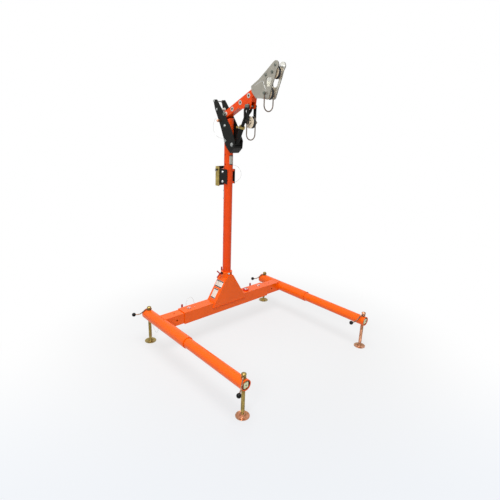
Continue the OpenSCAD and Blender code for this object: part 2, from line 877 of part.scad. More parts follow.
// Head: a sleeve on the boom's end, two side plates and their cheeks
module head_outline() {
    difference() {
        union() {
            polygon([[-282, 2028], [-355, 2066], [-426, 2117], [-497, 2170], [-541, 2140],
                [-526, 2112], [-517, 2080], [-504, 2047], [-488, 2008], [-474, 1966],
                [-466, 1948], [-440, 1939], [-335, 1946], [-290, 1990]]);
            disc([-516, 2148], 28);
            disc([-450, 1957], 19);
        }
        // Window between the sheaves
        polygon([[-444, 2075], [-478, 2075], [-488, 2065], [-475, 2027], [-466, 2018],
            [-442, 2018], [-433, 2029], [-432, 2065]]);
    }
}

module head_plates() color([0.6, 0.6, 0.57]) placed() {
    difference() {
        union() {
            both_plates(head_sleeve_out, head_plate_t) head_outline();
            both_plates(head_sleeve_out + head_plate_t, cheek_t)
                polygon([[-307, 2023], [-396, 2055], [-416, 2025], [-434, 1996], [-438, 1960],
                    [-427, 1944], [-338, 1951]]);
            translate(origin) on_boom()
                translate([head_mouth, -head_sleeve_out - e, -head_sleeve_out])
                    cube([head_sleeve_len, 2 * (head_sleeve_out + e), 2 * head_sleeve_out]);
        }
        translate(origin) on_boom()
            translate([head_mouth - 30, -head_sleeve_in, -head_sleeve_in])
                cube([30 + head_sleeve_len - head_end_wall, 2 * head_sleeve_in, 2 * head_sleeve_in]);
        for (at = [upper_sheave_at, lower_sheave_at])
            cross(at, -through, through, sheave_axle_r + fit);
        cross(keeper_at, -through, through, mast_bolt_r + fit);
        cross(tip_at, -through, through, mast_bolt_r + fit);
        // Room for the lower sheave behind the sleeve
        cross(lower_sheave_at, -head_sleeve_out, head_sleeve_out, head_sheave_d / 2 + 2);
    }
}

module head_bolts() color("dimgray") placed() {
    outer = head_sleeve_out + head_plate_t;
    hex_bolt(upper_sheave_at, outer, sheave_axle_r, 10, 6);
    hex_bolt(lower_sheave_at, outer + 12.5, sheave_axle_r, 10, 6);
    hex_bolt(keeper_at, outer, mast_bolt_r, 9, 5);
    hex_bolt(tip_at, outer, mast_bolt_r, 9, 5);
    cross(tip_at, -head_sleeve_out + 0.2, head_sleeve_out - 0.2, tip_spacer_r);
    hex_bolt(strut_top, fork_in + fork_t + 0.5, end_pin_r, 11, 4);
    hex_bolt(block_top, strap_in + strap_t + 0.5, end_pin_r, 12, 6);
}

// Grooved sheave with a hub, on an axle along X
module sheave(at, d, hub_half) {
    difference() {
        union() {
            cross(at, -sheave_w / 2, sheave_w / 2, d / 2);
            cross(at, -hub_half, hub_half, 13);
        }
        translate([0, at[0], at[1]])
            rotate([0, 90, 0])
                rotate_extrude()
                    translate([d / 2 + 1, 0]) circle(r = rope_r + 4);
        cross(at, -through, through, sheave_axle_r + fit);
    }
}

module head_upper_sheave() color("cornsilk") placed()
    sheave(upper_sheave_at, head_sheave_d, head_sleeve_out - 0.4);
module head_lower_sheave() color("cornsilk") placed()
    sheave(lower_sheave_at, head_sheave_d, head_sleeve_out - 0.4);
module pulley_sheave() color("cornsilk") placed()
    sheave(block_at, block_sheave_d, strap_in - 0.4);

// U-shaped bail that hangs from two eyes on an axle along X
module bail(at, half, bottom) {
    eye_r = 11;
    bend_z = bottom + bail_r + half;
    difference() {
        union() {
            translate([0, at[0], bend_z])
                rotate([90, 0, 0])
                    rotate_extrude(angle = -180)
                        translate([half, 0]) circle(r = bail_r);
            for (x = [-half, half]) {
                rod([x, at[0], bend_z], [x, at[0], at[1]], bail_r);
                cross(at, x - bail_r, x + bail_r, eye_r);
            }
        }
        cross(at, -through, through, sheave_axle_r + fit);
    }
}

module head_bail() color("gray") placed()
    bail(lower_sheave_at, head_bail_half, head_bail_bottom);
module pulley_bail() color([0.12, 0.12, 0.12]) placed()
    bail(block_at, block_bail_half, block_bail_bottom);

module pulley_straps() color([0.12, 0.12, 0.12]) placed() {
    strap_r = 14;
    axle_end = block_bail_half + bail_r + 0.6;
    difference() {
        both_plates(strap_in, strap_t)
            union() {
                disc(block_top, strap_r);
                disc(block_at, strap_r);
                polygon([block_top + [strap_r, 0], block_at + [strap_r, 0],
                    block_at - [strap_r, 0], block_top - [strap_r, 0]]);
            }
        cross(block_top, -through, through, end_pin_r + fit);
    }
    hex_bolt(block_at, axle_end, sheave_axle_r, 10, 5);
}

base_beam();
socket_gussets();
mast_socket();
level();
plunger_housings();
left_arm();
left_leg();
right_arm();
right_leg();
left_extension();
right_extension();
left_front_housing();
right_front_housing();
left_rear_screw();
left_rear_crank();
left_rear_knob();
left_rear_foot();
right_rear_screw();
right_rear_crank();
right_rear_knob();
right_rear_foot();
left_front_screw();
left_front_crank();
left_front_knob();
left_front_foot();
right_front_screw();
right_front_crank();
right_front_knob();
right_front_foot();
left_arm_pin();
right_arm_pin();
left_leg_pin();
right_leg_pin();
left_arm_plunger();
right_arm_plunger();
side_socket_plunger();
rear_socket_plunger();
lower_mast();
upper_mast();
mast_head_plates();
mast_bolts();
mast_head_roller();
mast_pull_pin();
winch_plates();
winch_mount();
winch_pin();
boom();
boom_bushings();
strut_tube();
strut_collar();
strut_pin();
strut_rod();
head_plates();
head_bolts();
head_upper_sheave();
head_lower_sheave();
head_bail();
pulley_straps();
pulley_sheave();
pulley_bail();
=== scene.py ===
"""Looks of the confined space davit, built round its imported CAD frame.

Lengths are millimetres in the davit's own axes: the mast stands at x = y = 0, the floor is z = 0,
the beam lies along x, and the side with the boom is towards -y.
"""

import math

import bmesh
import bpy
from mathutils import Matrix, Vector


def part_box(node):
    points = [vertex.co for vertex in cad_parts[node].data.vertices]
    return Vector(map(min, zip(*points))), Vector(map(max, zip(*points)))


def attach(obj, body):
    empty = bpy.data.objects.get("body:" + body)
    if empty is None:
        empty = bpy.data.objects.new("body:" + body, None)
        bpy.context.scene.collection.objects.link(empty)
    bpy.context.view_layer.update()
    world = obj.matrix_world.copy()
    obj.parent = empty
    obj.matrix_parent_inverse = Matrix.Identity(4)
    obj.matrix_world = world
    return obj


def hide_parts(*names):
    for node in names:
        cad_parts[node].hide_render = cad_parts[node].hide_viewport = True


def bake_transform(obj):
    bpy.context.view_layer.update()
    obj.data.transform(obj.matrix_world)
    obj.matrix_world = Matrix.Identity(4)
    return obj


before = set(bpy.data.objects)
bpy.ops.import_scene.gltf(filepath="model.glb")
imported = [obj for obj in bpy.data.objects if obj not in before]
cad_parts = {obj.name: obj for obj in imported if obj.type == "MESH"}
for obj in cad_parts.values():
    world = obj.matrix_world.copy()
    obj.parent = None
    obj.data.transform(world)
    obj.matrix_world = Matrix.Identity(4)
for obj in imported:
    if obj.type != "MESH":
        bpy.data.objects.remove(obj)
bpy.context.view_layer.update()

mast_low, mast_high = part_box("lower_mast")
MAST_FOOT = Vector(((mast_low.x + mast_high.x) / 2, (mast_low.y + mast_high.y) / 2, 0))
TO_FRAME = Matrix.Translation(MAST_FOOT) @ Matrix.Scale(0.001, 4)

# Sizes shared with the CAD model. A pair is a place in y and z.
LEFT, RIGHT = -1, 1
LEG_X = 663.5
LEG_RADIUS = 44.45
LEG_END = -1016
TUBE_Z = 240.8
BEAM_HALF = 50.8
BEAM_TOP = TUBE_Z + BEAM_HALF
REAR_JACK, FRONT_JACK = 186, -994
PIVOT = (10, 1841)
BOOM_ANGLE = math.radians(26)
BUSHINGS_ALONG = (82, 184.5, 287)
STRUT_FOOT = (-90, 1615)
STRUT_TOP = (-230, 1897)
BLOCK_TOP = (-256, 1897)
BLOCK = (-256, 1783)
UPPER_SHEAVE = (-486, 2107)
LOWER_SHEAVE = (-431, 1977)
HEAD_TIP = (-513, 2149)
HEAD_IN, HEAD_OUT = 31, 36.3
PLATE_OUT = 44
WINCH_OUT = 44
WINCH_PIN = (90, 1407)
MAST_RADIUS = 36.5
COLLAR_RADIUS = 48


def point(x, y, z):
    """A place in the frame, in metres, from millimetres in the davit's axes."""
    return TO_FRAME @ Vector((x, y, z))


def rotation(degrees, axis):
    return Matrix.Rotation(math.radians(degrees), 4, axis)


# Camera and lamps
CAMERA_AT = (-2052.2, -2508.4, 1745.9)
CAMERA_AHEAD = (0.64866, 0.70015, -0.29837)
CAMERA_ROLL = 2.04
FOCAL_LENGTH = 28.16


def set_camera():
    """The camera that the photo was taken with, found from the davit's straight edges."""
    forward = Vector(CAMERA_AHEAD).normalized()
    level_side = forward.cross(Vector((0, 0, 1))).normalized()
    level_up = level_side.cross(forward)
    roll = math.radians(CAMERA_ROLL)
    side = level_side * math.cos(roll) + level_up * math.sin(roll)
    up = level_up * math.cos(roll) - level_side * math.sin(roll)
    lens = bpy.data.cameras.new("camera")
    lens.sensor_width = 36
    lens.lens = FOCAL_LENGTH
    lens.clip_end = 100
    camera = bpy.data.objects.new("camera", lens)
    bpy.context.scene.collection.objects.link(camera)
    aim = Matrix((side, up, -forward)).transposed().to_4x4()
    camera.matrix_world = Matrix.Translation(point(*CAMERA_AT)) @ aim
    bpy.context.scene.camera = camera


def area_light(name, place, target, size, power):
    lamp = bpy.data.lights.new(name, "AREA")
    lamp.shape = "DISK"
    lamp.size = size
    lamp.energy = power
    holder = bpy.data.objects.new(name, lamp)
    bpy.context.scene.collection.objects.link(holder)
    towards = Vector(target) - Vector(place)
    aim = towards.to_track_quat("-Z", "Y").to_matrix().to_4x4()
    holder.matrix_world = Matrix.Translation(place) @ aim


# Material nodes
class Value:
    """A number inside a material. Sums on values add Math nodes."""

    def __init__(self, nodes, socket):
        self.nodes = nodes
        self.socket = socket

    def sum_with(self, operation, other, swapped=False):
        pair = (other, self) if swapped else (self, other)
        return self.nodes.node("ShaderNodeMath", {0: pair[0], 1: pair[1]}, operation=operation)

    def __add__(self, other):
        return self.sum_with("ADD", other)

    def __sub__(self, other):
        return self.sum_with("SUBTRACT", other)

    def __rsub__(self, other):
        return self.sum_with("SUBTRACT", other, swapped=True)

    def __mul__(self, other):
        return self.sum_with("MULTIPLY", other)

    __radd__ = __add__
    __rmul__ = __mul__


class Nodes:
    """The nodes of a material or of the world."""

    def __init__(self, tree):
        self.tree = tree

    def node(self, kind, sockets=None, out=0, stops=None, **settings):
        """Adds a node with its settings, colour stops and sockets, and gives one output."""
        made = self.tree.nodes.new(kind)
        for name, value in settings.items():
            setattr(made, name, value)
        if stops:
            ramp = made.color_ramp.elements
            while len(ramp) < len(stops):
                ramp.new(0.5)
            for stop, (place, colour) in zip(ramp, stops):
                stop.position = place
                stop.color = (*colour, 1)
        for name, value in (sockets or {}).items():
            if isinstance(value, Value):
                self.tree.links.new(value.socket, made.inputs[name])
            else:
                made.inputs[name].default_value = value
        return Value(self, made.outputs[out])

    def mixed(self, first, second, share):
        """Colour between first and second, by share."""
        colours = {0: share}
        for slot, colour in ((6, first), (7, second)):
            colours[slot] = colour if isinstance(colour, Value) else (*colour, 1)
        return self.node("ShaderNodeMix", colours, 2, data_type="RGBA")

    def seen(self):
        """1 on what the camera, a reflection or glass shows, and 0 on light for the object."""
        path = self.tree.nodes.new("ShaderNodeLightPath")
        kinds = ("Camera", "Glossy", "Transmission")
        return sum(Value(self, path.outputs[f"Is {kind} Ray"]) for kind in kinds)

    def step(self, value, low, high):
        """0 under low, 1 over high, and smooth between."""
        ends = {"Value": value, "From Min": low, "From Max": high}
        return self.node("ShaderNodeMapRange", ends, interpolation_type="SMOOTHSTEP")


class Finish(Nodes):
    """A material with its own surface shader."""

    def __init__(self, name, slot=None, **fixed):
        self.material = bpy.data.materials.new(name)
        self.material.use_nodes = True
        self.slot = slot
        super().__init__(self.material.node_tree)
        self.shader = self.tree.nodes["Principled BSDF"]
        for socket, value in fixed.items():
            self.shader.inputs[socket.replace("_", " ")].default_value = value
        self.place = self.node("ShaderNodeTexCoord", out=3)

    def noise(self, scale, detail=2, roughness=0.5, stretch=None):
        place = self.place
        if stretch:
            place = self.node("ShaderNodeMapping", {"Vector": place, "Scale": stretch})
        sockets = {"Vector": place, "Scale": scale, "Detail": detail, "Roughness": roughness}
        return self.node("ShaderNodeTexNoise", sockets)

    def show(self, socket, value):
        self.tree.links.new(value.socket, self.shader.inputs[socket])

    def bump(self, height, depth):
        sockets = {"Height": height, "Distance": depth, "Strength": 1.0}
        self.show("Normal", self.node("ShaderNodeBump", sockets))


def srgb(red, green, blue):
    """Linear colour from 0 to 255 display values."""
    shares = (c / 255 for c in (red, green, blue))
    return tuple(c / 12.92 if c <= 0.04045 else ((c + 0.055) / 1.055) ** 2.4 for c in shares)


def times(colour, share):
    return tuple(c * share for c in colour)


# Floor and backdrop
FLOOR_REACH = 30
FLOOR_TONES = (0.52, 0.53, 0.545), (0.54, 0.55, 0.565)
FLOOR_WHITE, FLOOR_COOL = (1, 1, 1), (0.87, 0.90, 0.945)
FLOOR_FRONT = (-0.63, -0.77, 0)


def set_floor():
    """A pale floor that fades into a white surround and keeps the davit's shadow."""
    bm = bmesh.new()
    bmesh.ops.create_grid(bm, x_segments=8, y_segments=8, size=FLOOR_REACH)
    mesh = bpy.data.meshes.new("floor")
    bm.to_mesh(mesh)
    bm.free()
    floor = bpy.data.objects.new("floor", mesh)
    bpy.context.scene.collection.objects.link(floor)
    paint = Finish("floor", Roughness=0.6)
    paint.show("Base Color", paint.mixed(*FLOOR_TONES, paint.noise(2)))
    away = paint.node("ShaderNodeVectorMath", {0: paint.place}, 1, operation="LENGTH")
    front = paint.node("ShaderNodeVectorMath", {0: paint.place, 1: FLOOR_FRONT}, 1,
                       operation="DOT_PRODUCT")
    near = paint.step(front, 0.1, 1.9) * (1 - paint.step(away, 2.4, 6))
    tint = paint.mixed(FLOOR_WHITE, FLOOR_COOL, near)
    glow = paint.node("ShaderNodeEmission", {"Color": tint, "Strength": 1.0})
    fade = (paint.step(away, 0.7, 2) * 0.3 + 0.7) * paint.seen()
    body = Value(paint, paint.shader.outputs[0])
    blend = paint.node("ShaderNodeMixShader", {0: fade, 1: body, 2: glow})
    output = paint.tree.nodes["Material Output"]
    paint.tree.links.new(blend.socket, output.inputs["Surface"])
    mesh.materials.append(paint.material)


def set_world():
    """A white backdrop, and a weaker sky that lights the davit."""
    world = bpy.data.worlds.new("studio")
    bpy.context.scene.world = world
    world.use_nodes = True
    sky = Nodes(world.node_tree)
    seen = sky.seen()
    backdrop = sky.node("ShaderNodeBackground", {"Color": (1, 1, 1, 1), "Strength": 1.0})
    light = sky.node("ShaderNodeBackground", {"Color": (0.98, 0.98, 1, 1), "Strength": 0.28})
    both = sky.node("ShaderNodeMixShader", {0: seen, 1: light, 2: backdrop})
    world.node_tree.links.new(both.socket, world.node_tree.nodes["World Output"].inputs["Surface"])


# Finishes
def painted(name, slot, colour, rough, coat=0.0, peel=0.00006, dust=0.0,
            specular=0.12):
    """Powder coat: a faint orange-peel skin, cloudy tone and a little dust."""
    paint = Finish(name, slot, Coat_Weight=coat, Coat_Roughness=0.12, Specular_IOR_Level=specular)
    cloud = paint.noise(9, 3)
    grain = paint.noise(420, 2, 0.6)
    tone = paint.mixed(times(colour, 0.96), times(colour, 1.03), paint.step(cloud, 0.3, 0.7))
    if dust:
        specks = paint.step(paint.noise(150, 4, 0.7), 0.62, 0.74) * dust
        tone = paint.mixed(tone, srgb(190, 180, 165), specks)
    paint.show("Base Color", tone)
    paint.show("Roughness", grain * 0.14 + cloud * 0.1 + (rough - 0.12))
    paint.bump(grain, peel)
    return paint


def plated(name, slot, tints, rough, metallic=0.85, scale=26):
    """Zinc plate: tints drift over the surface, with fine scratches."""
    metal = Finish(name, slot, Metallic=metallic)
    drift = metal.noise(scale, 4, 0.65)
    scratch = metal.noise(90, 3, 0.7, stretch=(1, 1, 9))
    stops = [(0.3 + 0.4 * i / (len(tints) - 1), tint) for i, tint in enumerate(tints)]
    metal.show("Base Color", metal.node("ShaderNodeValToRGB", {"Fac": drift}, stops=stops))
    metal.show("Roughness", scratch * 0.22 + drift * 0.1 + (rough - 0.16))
    metal.bump(scratch, 0.00005)
    return metal


def paint_shade_inside(metal, node, wall, dark):
    """Paints shade on the inner faces of a channel that is open towards the mast."""
    low, high = (corner * 1000 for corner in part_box(node))
    x, y = (metal.node("ShaderNodeSeparateXYZ", {0: metal.place}, out) * 1000 for out in (0, 1))
    middle, half, back = (low.x + high.x) / 2, (high.x - low.x) / 2 - wall, high.y - wall
    across = metal.node("ShaderNodeMath", {0: x - middle}, operation="ABSOLUTE")
    between_sides = 1 - metal.step(across, half, half + 0.2)
    before_back = 1 - metal.step(y, back + 0.1, back + 0.3)
    plain = Value(metal, metal.shader.inputs["Base Color"].links[0].from_socket)
    metal.show("Base Color", metal.mixed(plain, dark, between_sides * before_back))


def make_head_grey():
    """Grey metal head, with painted reflection between its plates and painted shade on their cut
    edges.
    """
    metal = Finish("head_grey", "grey_paint")
    across = metal.node("ShaderNodeSeparateXYZ", {0: metal.place}) * 1000 - MAST_FOOT[0] * 1000
    across = metal.node("ShaderNodeMath", {0: across}, operation="ABSOLUTE")
    grain = metal.noise(260, 3, 0.6)
    cloud = metal.noise(16, 3)
    outside = metal.mixed(srgb(150, 147, 136), srgb(172, 168, 156), cloud)
    # Painted reflection: a brighter grey between the two plates.
    inside = metal.mixed(srgb(214, 212, 202), srgb(236, 235, 228), cloud)
    # Painted shade on the plates' cut edges.
    edge = metal.mixed(srgb(36, 31, 26), srgb(64, 56, 48), grain)
    colour = metal.mixed(inside, edge, metal.step(across, HEAD_IN - 0.15, HEAD_IN + 0.1))
    colour = metal.mixed(colour, outside, metal.step(across, HEAD_OUT - 0.25, HEAD_OUT - 0.05))
    metal.show("Base Color", colour)
    metal.show("Roughness", grain * 0.12 + cloud * 0.1 + 0.28)
    metal.show("Metallic", 0.75 - metal.step(cloud, 0.4, 0.7) * 0.1)
    metal.bump(grain, 0.00003)
    return metal


def moulded(name, slot, colour, rough, **fixed):
    """Plastic or rubber with a faint grain."""
    plastic = Finish(name, slot, **fixed)
    grain = plastic.noise(300)
    cloud = plastic.noise(30)
    plastic.show("Base Color", plastic.mixed(times(colour, 0.86), colour, cloud))
    plastic.show("Roughness", grain * 0.16 + (rough - 0.08))
    plastic.bump(grain, 0.00004)
    return plastic


orange = painted("orange_gloss", "orange_paint", srgb(243, 96, 5), 0.34, coat=0.3, dust=0.02)
# A darker copy of the orange paint for the mast and boom: painted shade, as less light falls on
# them.
shaded_orange = painted("shaded_orange", "orange_paint", srgb(227, 70, 3), 0.34, coat=0.2, dust=0.02)
weld_orange = painted("orange_weld", "orange_paint", srgb(230, 84, 4), 0.42, peel=0.00015)
black = painted("black_satin", "black_paint", srgb(25, 25, 23), 0.36, peel=0.00005, dust=0.02,
                specular=0.1)
silver_grey = make_head_grey()
yellow_zinc = plated("yellow_zinc", "yellow_zinc",
                     [srgb(106, 88, 50), srgb(172, 150, 86), srgb(128, 112, 60),
                      srgb(184, 144, 92)], 0.34, scale=24)
winch_zinc = plated("winch_zinc", "yellow_zinc",
                    [srgb(190, 168, 94), srgb(131, 115, 61)], 0.4, 0.7)
# Painted shade inside the winch mount's channel.
paint_shade_inside(winch_zinc, "winch_mount", 5, srgb(38, 28, 22))
pale_zinc = plated("pale_zinc", "yellow_zinc",
                   [srgb(206, 206, 150), srgb(226, 224, 186), srgb(196, 204, 158)], 0.4, 0.3)
copper_zinc = plated("copper_zinc", "copper_zinc",
                     [srgb(122, 84, 62), srgb(212, 154, 120), srgb(158, 110, 78),
                      srgb(194, 158, 114)], 0.34, scale=28)
bright_zinc = plated("bright_zinc", "bright_steel",
                     [srgb(172, 172, 170), srgb(205, 206, 206), srgb(186, 188, 190)], 0.3, 0.95, 60)
dark_steel = plated("dark_steel", "bright_steel",
                    [srgb(80, 68, 58), srgb(118, 104, 92), srgb(68, 58, 50)], 0.32, 0.9, 60)
crank_bronze = plated("crank_bronze", "bright_steel",
                      [srgb(54, 42, 34), srgb(154, 120, 98), srgb(82, 64, 52)], 0.3, 0.9, 40)
bolt_zinc = plated("bolt_zinc", "bright_steel",
                   [srgb(126, 128, 126), srgb(168, 170, 168), srgb(138, 140, 138)], 0.34, 0.9, 60)
bolt_grey = plated("bolt_grey", "bright_steel",
                   [srgb(78, 82, 76), srgb(122, 126, 118), srgb(64, 66, 60)], 0.34, 0.9, 60)
red_grip = moulded("red_grip", "red_handle", srgb(172, 12, 16), 0.35)
red_plastic = moulded("red_plastic", "red_plastic", srgb(208, 26, 10), 0.28)
knob_black = moulded("knob_black", "black_plastic", srgb(12, 12, 12), 0.22,
                     Specular_IOR_Level=0.15)
cream = moulded("cream_nylon", "cream_nylon", srgb(222, 206, 180), 0.42)
# Painted shade for the deep rope grooves of the sheaves.
groove_painted_shade = moulded("groove_painted_shade", "black_plastic", srgb(18, 17, 16), 0.5)
deep_black = moulded("deep_black", "black_plastic", srgb(16, 15, 15), 0.5)
# Dark brown painted shade for the inside of the leg tubes.
tube_shade_brown = moulded("tube_shade_brown", "orange_paint", srgb(58, 22, 12), 0.6)
vial_white = moulded("vial_white", "white_bush", srgb(232, 236, 228), 0.12)
bubble_green = moulded("bubble_green", "white_bush", srgb(196, 214, 150), 0.1)
plate_cream = moulded("plate_cream", "white_bush", srgb(226, 216, 204), 0.4)
band_stone = moulded("band_stone", "white_bush", srgb(186, 181, 168), 0.4)
band_grey = moulded("band_grey", "black_paint", srgb(58, 62, 58), 0.4)
wire_grey = moulded("wire_grey", "bright_steel", srgb(178, 178, 174), 0.35, Metallic=0.6)
# Darker orange-brown for the inside of the boom's bushing bores.
bore_orange_brown = moulded("bore_orange_brown", "orange_paint", srgb(136, 64, 30), 0.5)
bush_grey = moulded("bush_grey", "white_bush", srgb(184, 184, 176), 0.42)


# Shapes
SHARP = math.radians(35)


def closed(bm):
    """Merges doubles, points faces outwards and marks the sharp edges."""
    bmesh.ops.remove_doubles(bm, verts=bm.verts, dist=0.002)
    bmesh.ops.recalc_face_normals(bm, faces=bm.faces)
    for edge in bm.edges:
        edge.smooth = edge.calc_face_angle(0) < SHARP
    for face in bm.faces:
        face.smooth = True


def add_to(whole, part, where=Matrix()):
    """Moves a finished shape to its place and adds it to a whole."""
    closed(part)
    bmesh.ops.transform(part, matrix=where, verts=part.verts)
    mesh = bpy.data.meshes.new("part")
    part.to_mesh(mesh)
    part.free()
    whole.from_mesh(mesh)
    bpy.data.meshes.remove(mesh)


def piece(name, bm, finish, body, stands_for=(), where=Matrix()):
    """Makes the object of a shape, which rides on a body and may stand for CAD nodes."""
    closed(bm)
    bmesh.ops.transform(bm, matrix=TO_FRAME @ where, verts=bm.verts)
    mesh = bpy.data.meshes.new(name)
    bm.to_mesh(mesh)
    bm.free()
    made = bpy.data.objects.new(name, mesh)
    bpy.context.scene.collection.objects.link(made)
    mesh.materials.append(finish.material)
    if body:
        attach(made, body)
    if stands_for:
        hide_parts(*stands_for)
    return made


def along_x(at):
    """Local z runs along x, from a point given in y and z."""
    return Matrix.Translation((0, *at)) @ rotation(90, "Y")


def between(start, end):
    """Local z runs from start to end."""
    start, end = Vector(start), Vector(end)
    turn = (end - start).to_track_quat("Z", "Y").to_matrix().to_4x4()
    return Matrix.Translation(start) @ turn


def spin(bm, verts, edges, angle, steps, rise=0.0, full=False):
    """Spins a line about local z, and lifts it by rise at each step."""
    bmesh.ops.spin(bm, geom=verts + edges, cent=(0, 0, 0), axis=(0, 0, 1), dvec=(0, 0, rise),
                   angle=angle, steps=steps, use_merge=full, use_duplicate=False)


def turned(profile, steps=48):
    """A shape turned about local z. The profile is a list of (height, radius)."""
    bm = bmesh.new()
    verts = [bm.verts.new((radius, 0, height)) for height, radius in profile]
    edges = [bm.edges.new(pair) for pair in zip(verts, verts[1:])]
    spin(bm, verts, edges, math.tau, steps, full=True)
    return bm


def sweep(points, radius, sides=12, radii=None):
    """A round bar along points, with closed ends."""
    points = [Vector(p) for p in points]
    radii = radii or [radius] * len(points)
    bm = bmesh.new()
    circle = bmesh.ops.create_circle(bm, cap_ends=True, radius=1, segments=sides)
    face = circle["verts"][0].link_faces[0]
    placed = Matrix()
    turn = None
    for i, place in enumerate(points):
        ahead = points[min(i + 1, len(points) - 1)] - points[max(i - 1, 0)]
        if turn is None:
            turn = ahead.to_track_quat("Z", "Y")
        else:
            turn = (turn @ Vector((0, 0, 1))).rotation_difference(ahead) @ turn
            grown = bmesh.ops.extrude_face_region(bm, geom=[face])["geom"]
            old, face = face, next(f for f in grown if isinstance(f, bmesh.types.BMFace))
            if i > 1:
                bmesh.ops.delete(bm, geom=[old], context="FACES_ONLY")
        target = Matrix.Translation(place) @ turn.to_matrix().to_4x4() @ Matrix.Scale(radii[i], 4)
        bmesh.ops.transform(bm, matrix=target @ placed.inverted(), verts=list(face.verts))
        placed = target
    return bm


def rounded(points, radius, steps=6):
    """The points with each corner rounded off."""
    points = [Vector(p) for p in points]
    path = [points[0]]
    for before, corner, after in zip(points, points[1:], points[2:]):
        back, ahead = before - corner, after - corner
        cut = min(radius, back.length * 0.48, ahead.length * 0.48)
        first, last = corner + back.normalized() * cut, corner + ahead.normalized() * cut
        for i in range(steps + 1):
            t = i / steps
            path.append(first * (1 - t) ** 2 + corner * 2 * t * (1 - t) + last * t ** 2)
    path.append(points[-1])
    return path


def slab(outline, thickness, edge=0.4):
    """A plate with softened edges. Its outline lies in local x and y."""
    bm = bmesh.new()
    face = bm.faces.new([bm.verts.new((x, y, 0)) for x, y in outline])
    grown = bmesh.ops.extrude_face_region(bm, geom=[face])["geom"]
    raised = [v for v in grown if isinstance(v, bmesh.types.BMVert)]
    bmesh.ops.translate(bm, vec=(0, 0, thickness), verts=raised)
    soften(bm, edge)
    return bm


def bevel(bm, edges, width, segments):
    bmesh.ops.bevel(bm, geom=edges, offset=width, offset_type="OFFSET", segments=segments,
                    profile=0.5, affect="EDGES", material=-1, clamp_overlap=True)


def soften(bm, width, over=40):
    """Bevels the edges that are sharper than over degrees."""
    bmesh.ops.recalc_face_normals(bm, faces=bm.faces)
    edges = [e for e in bm.edges if e.calc_face_angle(0) > math.radians(over)]
    bevel(bm, edges, width, 2)


def hexagon(radius, height, chamfer=0.8):
    """A hex head or nut that stands on local z = 0, with its outer corners taken off."""
    bm = bmesh.new()
    bmesh.ops.create_cone(bm, cap_ends=True, segments=6, radius1=radius, radius2=radius,
                          depth=height)
    bmesh.ops.translate(bm, vec=(0, 0, height / 2), verts=bm.verts)
    top = [e for e in bm.edges if all(v.co.z > height / 2 for v in e.verts)]
    bevel(bm, top, chamfer, 1)
    return bm


def ridged(radius, depth, pitch, low, high, steps=20):
    """A screw thread: one tooth's profile spun up the axis."""
    bm = bmesh.new()
    turns = int((high - low) / pitch)
    root = radius - depth
    tooth = [(root, 0), (root, 0.2), (radius, 0.42), (radius, 0.78), (root, 1)]
    verts = [bm.verts.new((r, 0, low + t * pitch)) for r, t in tooth]
    edges = [bm.edges.new(pair) for pair in zip(verts, verts[1:])]
    spin(bm, verts, edges, math.tau * turns, steps * turns, rise=pitch / steps)
    return bm


def weld(path, radius, spacing=3.2):
    """A weld bead: a bar with scales along its length."""
    path = [Vector(p) for p in path]
    points, radii = [], []
    for start, end in zip(path, path[1:]):
        count = max(2, int((end - start).length / spacing) * 2)
        for i in range(count):
            points.append(start.lerp(end, i / count))
            radii.append(radius * (1.0 if i % 2 else 0.8))
    return sweep(points, radius, 8, radii)


# CAD nodes that are shown as they are, with their finishes
PLAIN_NODES = {
    orange: ["base_beam", "socket_gussets", "mast_socket", "left_arm", "left_leg", "right_arm",
             "right_leg", "left_extension", "right_extension"],
    shaded_orange: ["lower_mast", "upper_mast", "boom"],
    black: ["plunger_housings", "mast_head_plates", "winch_plates", "strut_tube", "strut_rod",
            "pulley_straps"],
    silver_grey: ["head_plates"],
    dark_steel: ["head_bail", "pulley_bail"],
    yellow_zinc: ["left_front_housing", "right_front_housing", "strut_collar", "strut_pin"],
    winch_zinc: ["winch_mount"],
    bright_zinc: ["left_arm_pin", "right_arm_pin", "left_leg_pin", "right_leg_pin"],
    copper_zinc: ["mast_pull_pin"],
    red_grip: ["left_arm_plunger", "right_arm_plunger", "side_socket_plunger",
               "rear_socket_plunger"],
    knob_black: ["winch_pin"],
    bush_grey: ["boom_bushings", "mast_head_roller"],
    red_plastic: ["level"],
}


def finish_nodes():
    for finish, names in PLAIN_NODES.items():
        for name in names:
            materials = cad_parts[name].data.materials
            materials.clear()
            materials.append(finish.material)


# Screw jacks: side, y, azimuth of the handle, and the metals of screw and foot
JACKS = {
    "left_rear": (LEFT, REAR_JACK, 145, yellow_zinc, yellow_zinc),
    "right_rear": (RIGHT, REAR_JACK, 145, yellow_zinc, yellow_zinc),
    "left_front": (LEFT, FRONT_JACK, 216, yellow_zinc, copper_zinc),
    "right_front": (RIGHT, FRONT_JACK, 165, copper_zinc, copper_zinc),
}
# Ball end, neck, core of the thread, collar and cap
SCREW = [(2, 0), (2.6, 3.6), (5.5, 8), (9, 10.3), (13, 11), (17, 10.3), (20.2, 8.3), (21.6, 7),
         (30.6, 7), (31, 9.6), (33, 11.6), (283, 11.6), (285, 12.6), (287.4, 12.6), (287.6, 16.4),
         (290.2, 16.4), (290.4, 11), (303, 11), (303.2, 16.2), (304, 17), (311.2, 17),
         (312.6, 16.4), (315.4, 12), (317.2, 7), (318, 0)]
THREAD = {"radius": 12.7, "depth": 1.1, "pitch": 4, "low": 33, "high": 283}
